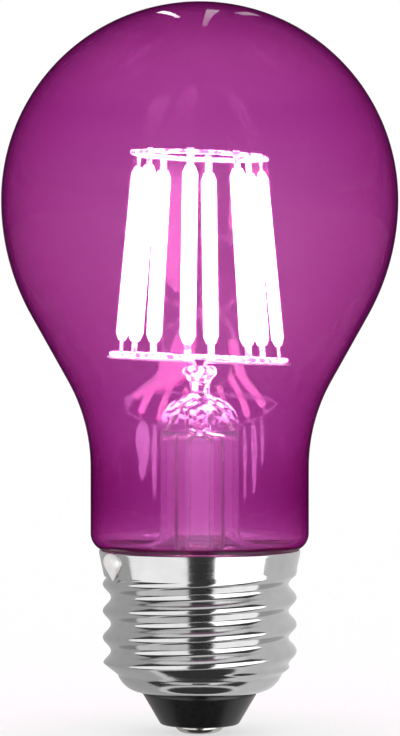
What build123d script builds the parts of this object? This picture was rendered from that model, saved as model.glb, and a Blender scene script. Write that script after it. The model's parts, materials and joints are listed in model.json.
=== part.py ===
from build123d import *
import os
from math import acos, asin, cos, degrees, radians, sin, sqrt, tan

# Filament lamp with a tinted glass envelope on a medium screw base, in millimetres.
# The origin is the centre of the bottom contact's face, and +Z runs up the lamp's axis to the crown.
# -Y is the front: the side on which the blow hole of the stem is seen.

# Bottom contact and its black glass insulator
contact_drop = 1.15
contact_radius = 3.3
contact_flat_radius = 2.0
contact_edge = 0.4
rivet_radius = 1.3
rivet_length = 2.2
insulator_height = 4.5
insulator_top_radius = 7.95
insulator_foot_radius = 5.3
insulator_edge = 0.6
insulator_fill = 1.8

# Screw base, rolled from one sheet with the knuckle thread of a medium lamp cap
sheet = 0.3
thread_diameter = 26.4
thread_depth = 1.1
thread_pitch = 3.629
thread_phase_height = 14.79
thread_turns_below = 3
thread_turns_above = 2.1
base_hole_radius = 7.6
base_flat_radius = 7.9
base_round = 3.45
base_turn = 72.0
runout_angle = 38.0
collar_start = 15.0
collar_step = 0.75
collar_bulge = 0.95
collar_height = 3.55
cement_gap = 0.45
rim_gap = 1.5
notch_width = 1.1
notch_margin = 0.4

# Blown glass envelope
glass_wall = 0.8
bulb_diameter = 54.0
shoulder_radius = 32.0
taper_angle = 29.25
waist_radius = 24.0
neck_length = 8.95
foot_radius = 2.4
foot_step = 2.55
seat_round = 0.8
seat_depth = 2.05
foot_lift = 0.05

# Clear glass stem with its press, post and button
stem_wall = 0.9
stem_radius = 5.35
stem_tube_length = 13.9
flare_radius = 3.2
flare_turn = 78.0
seal_lip = 0.4
press_round = 3.9
press_turn = 80.0
post_fillet = 1.0
post_length = 0.2
button_flare = 2.2
button_turn = 50.0
button_round = 0.75
blow_hole_radius = 1.0
blow_hole_rise = 1.2

# Exhaust tube, pinched off and sealed inside the base
exhaust_radius = 2.0
exhaust_wall = 0.7
exhaust_length = 23.0
exhaust_tip = 3.0
exhaust_tip_radius = 0.6

# Lead wires from the driver board, through the press and post, to the lower rings
lead_radius = 0.25
lead_offset = 3.2
post_lead_offset = 0.7
lead_crank_rise = 3.6
lead_crank_start = 0.3
lead_bend = 1.5
arm_bend = 0.5
arm_rise = 0.62
arm_tail = 0.5

# Cage of filaments between an upper ring and two half rings
ring_wire_radius = 0.3
upper_ring_radius = 8.75
lower_ring_radius = 11.4
ring_corner = 1.0
ring_gap = 2.4
ring_tilt = 2.4
cage_turn = -8.5
cage_height = 27.3
filament_count = 8
filament_width = 2.0
filament_thickness = 1.5
filament_round = 0.5
filament_end_taper = 0.4
filament_end_length = 1.0
tab_width = 0.9
tab_thickness = 0.25
tab_reach = 1.9
tab_tail = 0.5
weld_gap = 0.02

# Driver board inside the base, and what is soldered to it
board_thickness = 1.0
board_gap = 0.3
board_height = 6.35
capacitor_radius = 3.15
capacitor_height = 7.4
capacitor_edge = 0.5
capacitor_crimp = 1.6
capacitor_groove = 0.3
capacitor_inset = 2.15
rectifier_size = (4.7, 3.9, 2.5)
rectifier_angle = 216.5
chip_size = (4.9, 3.9, 1.5)
chip_angle = 320.0
package_inset = 4.6
package_edge = 0.3
leg_width = 0.5
leg_length = 1.0
leg_thickness = 0.2
fuse_radius = 1.3
fuse_length = 3.6
fuse_edge = 0.5
fuse_drop = 0.9
fuse_lead_radius = 0.3

# Side wire that leaves through the notch in the rim, and its drop of solder
side_wire_radius = 0.18
side_wire_inset = 1.9
side_wire_bend = 0.4
side_wire_clearance = 0.05
side_wire_tail = 0.3
side_angle = 209.4
solder_width = 4.6
solder_height = 3.9
solder_bulge = 0.75
solder_round = 1.35

# A piece that stands on its foot
FOOT = (Align.CENTER, Align.CENTER, Align.MIN)

# Heights up the axis, worked out from the sizes above
base_bottom = contact_drop + insulator_height
collar_bottom = base_bottom + collar_start
collar_waist = collar_bottom + collar_step
rim_height = collar_waist + collar_height
neck_end = rim_height - seat_depth
board_bottom = base_bottom + board_height
board_top = board_bottom + board_thickness
fuse_bottom = board_bottom - fuse_drop - fuse_length

# Thread: its outer and root radius
major_radius = thread_diameter / 2
minor_radius = major_radius - thread_depth

# Envelope: the seat stands in the collar with room for cement, and steps out to the neck by two arcs
bulb_radius = bulb_diameter / 2
seat_radius = minor_radius + collar_bulge - sheet - cement_gap
neck_radius = seat_radius + foot_step
neck_bore = seat_radius - glass_wall
rim_radius = seat_radius + rim_gap
foot_turn = degrees(acos(1 - foot_step / (foot_radius + seat_round)))
foot_rise = (foot_radius + seat_round) * sin(radians(foot_turn))
taper_side = 1 - cos(radians(taper_angle))
taper_reach = bulb_radius - neck_radius - (shoulder_radius + waist_radius) * taper_side
taper_length = taper_reach / sin(radians(taper_angle))
rim_inside = rim_radius - sheet - neck_radius + foot_radius
rim_contact_rise = sqrt(foot_radius**2 - rim_inside**2)
foot_top = rim_height + foot_lift + rim_contact_rise
seat_top = foot_top - foot_rise

# Driver board: clear of the thread's roots, with its pieces set in from its edge
board_radius = minor_radius - sheet - board_gap
capacitor_place = board_radius - capacitor_inset - capacitor_radius
package_place = board_radius - package_inset

# Side wire: below the neck's end, then up the cement and out just under the glass
side_wire_pad = board_radius - side_wire_inset
side_level = neck_end - side_wire_radius - side_wire_clearance
side_climb = seat_radius + side_wire_radius + side_wire_clearance
side_exit = seat_top - side_wire_radius - side_wire_clearance
notch_depth = rim_height - side_exit + notch_margin
collar_lean = (rim_radius - minor_radius - collar_bulge) / collar_height
solder_seat = rim_radius - collar_lean * solder_height / 2

# Stem: the flare stands on the seal and turns up into the tube
seal_height = stem_wall + seal_lip
flare_slope = tan(radians(90 - flare_turn))
flare_reach = neck_bore - stem_radius - flare_radius * (1 - cos(radians(flare_turn)))
flare_top = neck_end + seal_height + flare_reach * flare_slope + flare_radius * sin(radians(flare_turn))
press_bottom = flare_top + stem_tube_length
press_inside = press_bottom - stem_wall
blow_hole_height = press_bottom + blow_hole_rise
exhaust_bore = exhaust_radius - exhaust_wall
exhaust_end = press_inside - exhaust_length

# Post and button, from the press upwards
post_bottom = press_bottom + (press_round + post_fillet) * sin(radians(press_turn))
button_bottom = post_bottom + post_length
button_centre = button_bottom + (button_flare + button_round) * sin(radians(button_turn))
button_top = button_centre + button_round

# Cage: the arms of the lead wires pass under the half rings, which carry the filaments
arm_drop = lead_radius + ring_wire_radius + weld_gap
lower_ring_height = button_top + arm_rise + arm_drop
upper_ring_height = lower_ring_height + cage_height
lower_plane = Plane((0, 0, lower_ring_height)).rotated((0, ring_tilt, 0))
upper_plane = Plane((0, 0, upper_ring_height)).rotated((0, ring_tilt, 0))
tab_inset = ring_wire_radius + tab_thickness / 2 + weld_gap
cage_slant = sqrt(cage_height**2 + (lower_ring_radius - upper_ring_radius) ** 2)
filament_length = cage_slant - 2 * tab_reach
half_step = 180 / filament_count
left_arm_angle = (filament_count + 1) * half_step + cage_turn


def polar(radius, angle, height=0.0):
    """Point at a radius and an angle in degrees about the Z axis."""
    return Vector(radius * cos(radians(angle)), radius * sin(radians(angle)), height)


def export(part, name):
    """Labels a finished piece and writes it to the folder of parts."""
    part.label = name
    export_step(part, f"parts/{name}.step")


def wire_along(points, bends, radius, closed=False):
    """Round wire of a radius along straight runs joined by bends."""
    with BuildPart() as wire:
        with BuildLine() as route:
            FilletPolyline(*points, radius=bends, close=closed)
        with BuildSketch(Plane(route.wire() @ 0, z_dir=route.wire() % 0)):
            Circle(radius)
        sweep(path=route.wire())
    return wire.part


def thread_rod(inset):
    """Threaded rod, drawn in by inset: a level disc whose centre climbs a narrow helix."""
    swing = thread_depth / 2
    bottom = thread_phase_height - thread_turns_below * thread_pitch
    height = (thread_turns_below + thread_turns_above) * thread_pitch
    with BuildPart() as rod:
        with BuildLine() as route:
            Helix(thread_pitch, height, swing, center=(0, 0, bottom))
        with BuildSketch(Plane((swing, 0, bottom))):
            Circle(major_radius - swing - inset)
        sweep(path=route.wire(), normal=(0, 0, 1))
    return rod.part


def base_limit(inset, top):
    """Solid that the thread runs out on: flat bottom, round shoulder and a cone up to the crests."""
    outside = max(major_radius, rim_radius) + 2 * thread_depth
    with BuildPart() as limit:
        with BuildSketch(Plane.XZ):
            with BuildLine():
                flat = Line((0, base_bottom + inset), (base_flat_radius, base_bottom + inset))
                dome = JernArc(flat @ 1, (1, 0), base_round - inset, base_turn)
                reach = (outside - (dome @ 1).X) / cos(radians(runout_angle))
                runout = PolarLine(dome @ 1, reach, runout_angle)
                Polyline(runout @ 1, (outside, top), (0, top), flat @ 0)
            make_face()
        revolve(axis=Axis.Z)
    return limit.part


def base_plug(inset, top):
    """Filled form of the screw base, drawn in by inset all round and cut off at a top height."""
    waist = minor_radius - inset + collar_bulge
    rod = thread_rod(inset)
    limit = base_limit(inset, top)
    with BuildPart() as plug:
        add(rod)
        with BuildSketch(Plane.XZ):
            with BuildLine():
                Polyline(
                    (0, collar_bottom),
                    (minor_radius - inset - sheet, collar_bottom),
                    (waist, collar_waist),
                    (rim_radius - inset + collar_lean * (top - rim_height), top),
                    (0, top),
                    close=True,
                )
            make_face()
        revolve(axis=Axis.Z)
        add(limit, mode=Mode.INTERSECT)
    return plug.part


def ring_corners(radius, first, last):
    """Corners of a ring's many-sided route, each half way between two filaments."""
    across = radius / cos(radians(half_step))
    return [polar(across, (2 * k + 1) * half_step + cage_turn) for k in range(first, last)]


def half_ring(first):
    """Lower half ring that begins at a corner and holds half of the filaments."""
    corners = ring_corners(lower_ring_radius, first, first + filament_count // 2 + 1)
    corners[0] += (corners[1] - corners[0]).normalized() * (ring_gap / 2)
    corners[-1] += (corners[-2] - corners[-1]).normalized() * (ring_gap / 2)
    points = [lower_plane.from_local_coords(corner) for corner in corners]
    return wire_along(points, ring_corner, ring_wire_radius)


def lead_wire(side, corner_angle):
    """Lead wire on one side of the axis: board, stem tube, press, post, then the arm to a half ring."""
    crank_bottom = press_inside + lead_crank_start
    tilt = radians(ring_tilt)
    inner = side * post_lead_offset
    elbow = lower_ring_height - arm_drop / cos(tilt) - inner * tan(tilt)
    reach = lower_ring_radius / cos(radians(half_step)) + arm_tail
    points = [
        (side * lead_offset, 0, board_bottom),
        (side * lead_offset, 0, crank_bottom),
        (inner, 0, crank_bottom + lead_crank_rise),
        (inner, 0, elbow),
        lower_plane.from_local_coords(polar(reach, corner_angle, -arm_drop)),
    ]
    return wire_along(points, [lead_bend, lead_bend, arm_bend], lead_radius)


def package(size, angle):
    """Moulded component that lies on the board."""
    with BuildPart() as body:
        with Locations(polar(package_place, angle, board_top)):
            Box(*size, align=FOOT)
        chamfer(body.faces().sort_by(Axis.Z)[-1].edges(), length=package_edge)
    return body.part


def package_legs(size, angle, per_side):
    """Flat legs along two sides of a moulded component, lying on the board."""
    pitch = size[0] / per_side
    with BuildPart() as legs:
        with Locations(polar(package_place, angle, board_top)):
            with GridLocations(pitch, size[1] + leg_length, per_side, 2):
                Box(leg_width, leg_length, leg_thickness, align=FOOT)
    return legs.part


os.makedirs("parts", exist_ok=True)

# Screw base: the filled form less the same form drawn in by the sheet
outer_plug = base_plug(0, rim_height)
inner_plug = base_plug(sheet, rim_height + seat_depth)
with BuildPart() as screw_base:
    add(outer_plug)
    add(inner_plug, mode=Mode.SUBTRACT)
    with Locations((0, 0, base_bottom)):
        Cylinder(base_hole_radius, 4 * sheet, mode=Mode.SUBTRACT)
    with Locations(Location(polar(rim_radius, side_angle, rim_height), (0, 0, side_angle))):
        Box(2 * rim_gap, notch_width, 2 * notch_depth, mode=Mode.SUBTRACT)
export(screw_base.part, "screw_base")

# Insulator: the cone seen below the base, and the glass that fills the bottom of the base
with BuildPart() as insulator:
    add(inner_plug)
    with Locations((0, 0, base_bottom)):
        Cylinder(major_radius, sheet + insulator_fill, align=FOOT, mode=Mode.INTERSECT)
        Cylinder(base_hole_radius, sheet, align=FOOT)
    with BuildSketch(Plane.XZ):
        with BuildLine():
            Polyline(
                (0, contact_drop),
                (insulator_foot_radius, contact_drop),
                (insulator_top_radius, base_bottom),
                (0, base_bottom),
                close=True,
            )
        make_face()
    revolve(axis=Axis.Z)
    fillet(insulator.faces().sort_by(Axis.Z)[0].edges(), insulator_edge)
    with Locations((0, 0, contact_drop)):
        Cylinder(rivet_radius, 2 * insulator_height, align=FOOT, mode=Mode.SUBTRACT)
export(insulator.part, "insulator")

# Bottom contact: a domed face, with a hollow rivet up into the insulator for the fuse's lead
with BuildPart() as centre_contact:
    with BuildSketch(Plane.XZ):
        with BuildLine():
            flat = Line((0, 0), (contact_flat_radius, 0))
            dome = TangentArc(flat @ 1, (contact_radius, contact_drop - contact_edge), tangent=(1, 0))
            Polyline(
                dome @ 1,
                (contact_radius, contact_drop),
                (rivet_radius, contact_drop),
                (rivet_radius, contact_drop + rivet_length),
                (fuse_lead_radius, contact_drop + rivet_length),
                (fuse_lead_radius, contact_drop),
                (0, contact_drop),
                flat @ 0,
            )
        make_face()
    revolve(axis=Axis.Z)
export(centre_contact.part, "centre_contact")

# Glass envelope: one blown shell, open only at the neck's end inside the collar
with BuildPart() as glass_envelope:
    with BuildSketch(Plane.XZ):
        with BuildLine():
            seat = Line((seat_radius, neck_end), (seat_radius, seat_top))
            hollow = JernArc(seat @ 1, (0, 1), seat_round, -foot_turn)
            foot = JernArc(hollow @ 1, hollow % 1, foot_radius, foot_turn)
            neck = Line(foot @ 1, foot @ 1 + (0, neck_length))
            waist = JernArc(neck @ 1, (0, 1), waist_radius, -taper_angle)
            taper = PolarLine(waist @ 1, taper_length, 90 - taper_angle)
            shoulder = JernArc(taper @ 1, taper % 1, shoulder_radius, taper_angle)
            crown = JernArc(shoulder @ 1, (0, 1), bulb_radius, 90)
            Polyline(crown @ 1, (0, neck_end), seat @ 0)
        make_face()
    revolve(axis=Axis.Z)
    offset(amount=-glass_wall, openings=glass_envelope.faces().sort_by(Axis.Z)[0])
export(glass_envelope.part, "glass_envelope")

# Side wire: from the board, under the neck, up through the cement and out by the notch
side_route = [
    polar(side_wire_pad, side_angle, board_bottom),
    polar(side_wire_pad, side_angle, side_level),
    polar(side_climb, side_angle, side_level),
    polar(side_climb, side_angle, side_exit),
    polar(rim_radius + side_wire_tail, side_angle, side_exit),
]
side_wire = wire_along(side_route, side_wire_bend, side_wire_radius)
export(side_wire, "side_wire")

# Cement between the neck and the collar
with BuildPart() as cement_ring:
    add(inner_plug)
    with Locations((0, 0, neck_end)):
        Cylinder(2 * rim_radius, seat_top - neck_end, align=FOOT, mode=Mode.INTERSECT)
        Cylinder(seat_radius, seat_top - neck_end, align=FOOT, mode=Mode.SUBTRACT)
    add(side_wire, mode=Mode.SUBTRACT)
export(cement_ring.part, "cement_ring")

# Drop of solder over the notch, on the outside of the collar: a round head that runs down to a point
solder_run = solder_height / solder_round - 1
solder_slope = degrees(asin(1 / solder_run))
with BuildPart() as drop_form:
    with BuildSketch(Plane.XZ):
        with BuildLine():
            cheek = CenterArc((0, 0), 1, -solder_slope, 90 + solder_slope)
            Polyline(cheek @ 0, (0, -solder_run), (0, 1))
        make_face()
    revolve(axis=Axis.Z)
    scale(by=(solder_bulge, solder_width / 2, solder_round))
solder_place = polar(solder_seat, side_angle, rim_height - solder_round)
solder_drop = drop_form.part.moved(Location(solder_place, (0, 0, side_angle)))
with BuildPart() as side_solder:
    add(solder_drop)
    add(outer_plug, mode=Mode.SUBTRACT)
    add(side_wire, mode=Mode.SUBTRACT)
export(side_solder.part, "side_solder")

# Lead wires
left_lead = lead_wire(-1, left_arm_angle)
right_lead = lead_wire(1, left_arm_angle + 180)
export(left_lead, "lead_wire_left")
export(right_lead, "lead_wire_right")

# Stem: flare, tube and press, with the post and its button on top
with BuildPart() as stem:
    with BuildSketch(Plane.XZ):
        with BuildLine():
            skirt = Line((neck_bore, neck_end), (neck_bore, neck_end + seal_height))
            cone = PolarLine(skirt @ 1, flare_reach / sin(radians(flare_turn)), 90 + flare_turn)
            flare = JernArc(cone @ 1, cone % 1, flare_radius, -flare_turn)
            tube = Line(flare @ 1, (stem_radius, press_bottom))
            Polyline(tube @ 1, (0, press_bottom), (0, neck_end), skirt @ 0)
        make_face()
    revolve(axis=Axis.Z)
    offset(amount=-stem_wall, openings=stem.faces().sort_by(Axis.Z)[0])
    with BuildSketch(Plane.XZ):
        with BuildLine():
            base = Line((0, press_bottom), (stem_radius, press_bottom))
            dome = JernArc(base @ 1, (0, 1), press_round, press_turn)
            fillet_in = JernArc(dome @ 1, dome % 1, post_fillet, -press_turn)
            post = Line(fillet_in @ 1, fillet_in @ 1 + (0, post_length))
            spread = JernArc(post @ 1, (0, 1), button_flare, -button_turn)
            button = JernArc(spread @ 1, spread % 1, button_round, 90 + button_turn)
            Polyline(button @ 1, (0, button_top), base @ 0)
        make_face()
    revolve(axis=Axis.Z)
    with Locations((0, 0, press_inside)):
        Cylinder(exhaust_bore, blow_hole_height - press_inside, align=FOOT, mode=Mode.SUBTRACT)
    with Locations(Location((0, 0, blow_hole_height), (90, 0, 0))):
        Cylinder(blow_hole_radius, 2 * stem_radius, align=FOOT, mode=Mode.SUBTRACT)
    add(left_lead, mode=Mode.SUBTRACT)
    add(right_lead, mode=Mode.SUBTRACT)
export(stem.part, "stem")

# Exhaust tube under the press, closed by its melted tip
with BuildPart() as exhaust_tube:
    with BuildSketch(Plane.XZ):
        with BuildLine():
            Polyline(
                (exhaust_bore, press_inside),
                (exhaust_radius, press_inside),
                (exhaust_radius, exhaust_end + exhaust_tip),
                (exhaust_tip_radius, exhaust_end),
                (0, exhaust_end),
                (0, exhaust_end + exhaust_tip / 2),
                (exhaust_bore, exhaust_end + 1.5 * exhaust_tip),
                close=True,
            )
        make_face()
    revolve(axis=Axis.Z)
export(exhaust_tube.part, "exhaust_tube")

# Rings that carry the filaments
upper_route = [upper_plane.from_local_coords(p) for p in ring_corners(upper_ring_radius, 0, filament_count)]
export(wire_along(upper_route, ring_corner, ring_wire_radius, closed=True), "upper_ring")
export(half_ring(filament_count // 4), "lower_ring_left")
export(half_ring(-(filament_count // 4)), "lower_ring_right")

# Filaments, each with a pair of metal tabs welded to the inside of the rings
for k in range(filament_count):
    angle = 2 * k * half_step + cage_turn
    foot_point = lower_plane.from_local_coords(polar(lower_ring_radius - tab_inset, angle))
    head_point = upper_plane.from_local_coords(polar(upper_ring_radius - tab_inset, angle))
    tangent = lower_plane.from_local_coords(polar(1, angle + 90)) - lower_plane.origin
    along = Plane((foot_point + head_point) / 2, x_dir=tangent, z_dir=head_point - foot_point)
    tab_length = (head_point - foot_point).length / 2 - filament_length / 2 + tab_tail
    with BuildPart() as filament:
        with BuildSketch(along):
            RectangleRounded(filament_width, filament_thickness, filament_round)
        extrude(amount=filament_length / 2, both=True)
        ends = filament.faces().sort_by(Axis(along.origin, along.z_dir))
        for end in (ends[0], ends[-1]):
            chamfer(end.edges(), length=filament_end_taper, length2=filament_end_length, reference=end)
    export(filament.part, f"filament_{k + 1}")
    with BuildPart() as tabs:
        with BuildSketch(along.offset(filament_length / 2)):
            Rectangle(tab_width, tab_thickness)
        extrude(amount=tab_length)
        with BuildSketch(along.offset(-filament_length / 2)):
            Rectangle(tab_width, tab_thickness)
        extrude(amount=-tab_length)
    export(tabs.part, f"filament_tabs_{k + 1}")

# Driver board, held inside the thread by its wires
with BuildPart() as driver_board:
    with Locations((0, 0, board_bottom)):
        Cylinder(board_radius, board_thickness, align=FOOT)
        with PolarLocations(lead_offset, 2):
            Cylinder(lead_radius, board_thickness, align=FOOT, mode=Mode.SUBTRACT)
        Cylinder(fuse_lead_radius, board_thickness, align=FOOT, mode=Mode.SUBTRACT)
    add(side_wire, mode=Mode.SUBTRACT)
export(driver_board.part, "driver_board")

# Smoothing capacitor, a can with a crimp near its foot
with BuildPart() as capacitor:
    with Locations((0, capacitor_place, board_top)):
        Cylinder(capacitor_radius, capacitor_height, align=FOOT)
    fillet(capacitor.edges().filter_by(GeomType.CIRCLE), capacitor_edge)
    with Locations((0, capacitor_place, board_top + capacitor_crimp)):
        Torus(capacitor_radius, capacitor_groove, mode=Mode.SUBTRACT)
export(capacitor.part, "capacitor")

# Rectifier and driver chip, each with its legs
export(package(rectifier_size, rectifier_angle), "rectifier")
export(package_legs(rectifier_size, rectifier_angle, 2), "rectifier_legs")
export(package(chip_size, chip_angle), "driver_chip")
export(package_legs(chip_size, chip_angle, 4), "driver_chip_legs")

# Fuse resistor on the axis, between the board and the contact's rivet
with BuildPart() as fuse_resistor:
    with Locations((0, 0, fuse_bottom)):
        Cylinder(fuse_radius, fuse_length, align=FOOT)
    fillet(fuse_resistor.edges().filter_by(GeomType.CIRCLE), fuse_edge)
export(fuse_resistor.part, "fuse_resistor")

with BuildPart() as fuse_leads:
    with Locations((0, 0, fuse_bottom + fuse_length)):
        Cylinder(fuse_lead_radius, fuse_drop + board_thickness, align=FOOT)
    with Locations((0, 0, contact_drop)):
        Cylinder(fuse_lead_radius, fuse_bottom - contact_drop, align=FOOT)
export(fuse_leads.part, "fuse_leads")
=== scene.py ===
"""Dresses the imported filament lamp: tinted glass, glowing cage, clear stem and nickel screw cap.

Sizes are in millimetres, as on the drawing of the lamp, and become metres where a mesh is made.
"""

import json
import logging
import math
from dataclasses import dataclass, field, replace
from enum import Enum
from typing import Any

import bmesh
import bpy
from mathutils import Matrix, Vector

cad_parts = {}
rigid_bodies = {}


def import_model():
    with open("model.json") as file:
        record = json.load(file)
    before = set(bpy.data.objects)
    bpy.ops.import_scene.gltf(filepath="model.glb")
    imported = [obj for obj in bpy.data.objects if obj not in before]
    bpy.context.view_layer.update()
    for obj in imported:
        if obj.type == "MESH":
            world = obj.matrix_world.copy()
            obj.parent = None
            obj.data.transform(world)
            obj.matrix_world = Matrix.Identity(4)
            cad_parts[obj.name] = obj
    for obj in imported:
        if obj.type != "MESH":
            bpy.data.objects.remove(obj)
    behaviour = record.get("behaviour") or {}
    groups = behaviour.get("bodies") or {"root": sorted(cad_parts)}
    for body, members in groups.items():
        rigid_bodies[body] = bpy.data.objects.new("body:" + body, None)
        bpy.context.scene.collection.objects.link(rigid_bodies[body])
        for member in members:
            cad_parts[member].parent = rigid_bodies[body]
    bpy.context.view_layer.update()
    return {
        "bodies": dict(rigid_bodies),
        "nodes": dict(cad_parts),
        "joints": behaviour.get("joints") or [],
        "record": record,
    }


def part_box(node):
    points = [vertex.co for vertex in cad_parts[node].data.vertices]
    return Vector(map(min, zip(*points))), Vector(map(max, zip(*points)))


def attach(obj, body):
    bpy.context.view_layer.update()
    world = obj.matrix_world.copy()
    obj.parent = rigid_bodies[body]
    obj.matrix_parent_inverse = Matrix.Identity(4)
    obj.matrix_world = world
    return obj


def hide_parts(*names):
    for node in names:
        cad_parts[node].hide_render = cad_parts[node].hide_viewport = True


MM = 0.001
BODY = "root"
WHITE = "ffffff"
# Points that are closer than this many millimetres are one point
WELD = 0.001
# A noise texture mostly stays between these values
NOISE_SPAN = (0.3, 0.7)
# Bands that a wave texture draws in one unit at a scale of 1
WAVE_BANDS = 20 / math.tau
# Sockets of a Mix node for colours, by number because their names repeat
MIX_SHARE, MIX_FROM, MIX_TO, MIX_RESULT = 0, 6, 7, 2
log = logging.getLogger("lamp")


class Slot(Enum):
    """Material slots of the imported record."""

    TINTED_GLASS = "tinted_glass"
    CLEAR_GLASS = "clear_glass"
    NICKEL_PLATE = "nickel_plate"
    TINNED_CONTACT = "tinned_contact"
    BLACK_GLASS = "black_glass"


def linear(code: str) -> tuple[float, float, float, float]:
    """Turns an sRGB hex colour into the linear colour that a socket takes.

    Args:
        code: Six hex digits.

    Returns:
        Linear red, green and blue, with an alpha of 1.
    """
    shares = [int(code[k:k + 2], 16) / 255 for k in (0, 2, 4)]
    curve = [s / 12.92 if s <= 0.04045 else ((s + 0.055) / 1.055) ** 2.4 for s in shares]
    return (*curve, 1.0)


def per_size(size: float) -> float:
    """Texture scale at which one cell of a pattern is this many millimetres wide."""
    return 1 / (size * MM)


def smooth_share(value: float, start: float, end: float) -> float:
    """Share from 0 at the start to 1 at the end, with a soft beginning and end."""
    share = min(1.0, max(0.0, (value - start) / (end - start)))
    return share * share * (3 - 2 * share)


def add_node(
    tree: bpy.types.NodeTree,
    kind: str,
    links: dict[Any, bpy.types.NodeSocket] | None = None,
    values: dict[Any, Any] | None = None,
    **options: Any,
) -> bpy.types.Node:
    """Adds one node with its options, socket values and links.

    Args:
        tree: The node tree that gets the node.
        kind: The node's type name.
        links: Output sockets of other nodes, by the input they go to.
        values: Constants, by the input they are set on.
        options: The node's own settings.

    Returns:
        The new node.
    """
    node = tree.nodes.new(kind)
    for name, value in options.items():
        setattr(node, name, value)
    for name, value in (values or {}).items():
        node.inputs[name].default_value = value
    for name, source in (links or {}).items():
        tree.links.new(source, node.inputs[name])
    return node


class Finish:
    """A procedural material, made once and shared by the pieces that have it."""

    label: str

    def material(self) -> bpy.types.Material:
        """Finds the material by its label, or makes it.

        Returns:
            The finished material.
        """
        found = bpy.data.materials.get(self.label)
        if found is None:
            found = bpy.data.materials.new(self.label)
            found.use_nodes = True
            found.node_tree.nodes.clear()
            self.paint(found.node_tree, add_node(found.node_tree, "ShaderNodeOutputMaterial"))
        return found

    def paint(self, tree: bpy.types.NodeTree, output: bpy.types.Node) -> None:
        """Builds the nodes that lead to the material's output."""
        raise NotImplementedError


@dataclass(frozen=True)
class TintedGlass(Finish):
    """Blown soda-lime glass, tinted purple all through, with a thin veil on its inner side.

    The tint gathers where the wall is seen edge on, and the veil takes up some light of the strips.
    """

    label: str = "tinted_soda_lime_glass"
    tint: str = "da49ce"
    density: float = 2000.0
    index: float = 1.4
    inner_roughness: float = 0.05
    # Heights in millimetres, each with the share of veil there
    veil: tuple[tuple[float, float], ...] = (
        (26, 0.12),
        (28, 0.03),
        (31, 0.0),
        (45, 0.001),
        (52, 0.007),
        (69, 0.008),
        (79, 0.003),
        (86, 0.0),
        (93, 0.009),
    )
    # Heights in millimetres, each with how much the glass mirrors there
    mirror: tuple[tuple[float, float], ...] = ((76, 1.0), (80, 0.03), (91, 0.03), (94.5, 1.0))
    ramp_height: float = 100.0

    def paint(self, tree: bpy.types.NodeTree, output: bpy.types.Node) -> None:
        """Clear surface outside, a veil inside that the filaments light up, and tint all through.

        Args:
            tree: Node tree of the material.
            output: Its output node.
        """
        place = add_node(tree, "ShaderNodeTexCoord").outputs["Object"]
        height = add_node(tree, "ShaderNodeSeparateXYZ", {0: place}).outputs["Z"]
        inner = add_node(tree, "ShaderNodeAttribute", attribute_name=Envelope.INNER).outputs["Fac"]
        rough = add_node(
            tree, "ShaderNodeMath", {0: inner}, {1: self.inner_roughness}, operation="MULTIPLY"
        ).outputs[0]
        level = add_node(
            tree, "ShaderNodeMath", {0: height}, {1: self.ramp_height * MM}, operation="DIVIDE"
        ).outputs[0]
        greys = []
        for shares in (self.veil, self.mirror):
            ramp = add_node(tree, "ShaderNodeValToRGB", {"Fac": level})
            stops = ramp.color_ramp.elements
            for stop, (above, share) in enumerate(shares):
                if stop >= len(stops):
                    stops.new(above / self.ramp_height)
                stops[stop].position = above / self.ramp_height
                stops[stop].color = (share, share, share, 1)
            greys.append(ramp.outputs["Color"])
        veil = add_node(tree, "ShaderNodeMath", {0: greys[0], 1: inner}, operation="MULTIPLY").outputs[0]
        clear = add_node(tree, "ShaderNodeMath", {1: veil}, {0: 1.0}, operation="SUBTRACT").outputs[0]
        glass = add_node(
            tree,
            "ShaderNodeBsdfPrincipled",
            {"Roughness": rough, "Transmission Weight": clear, "Specular Tint": greys[1]},
            {"Base Color": linear(WHITE), "IOR": self.index},
        )
        tint = add_node(
            tree, "ShaderNodeVolumeAbsorption", None, {"Color": linear(self.tint), "Density": self.density}
        )
        tree.links.new(glass.outputs[0], output.inputs["Surface"])
        tree.links.new(tint.outputs[0], output.inputs["Volume"])


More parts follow.
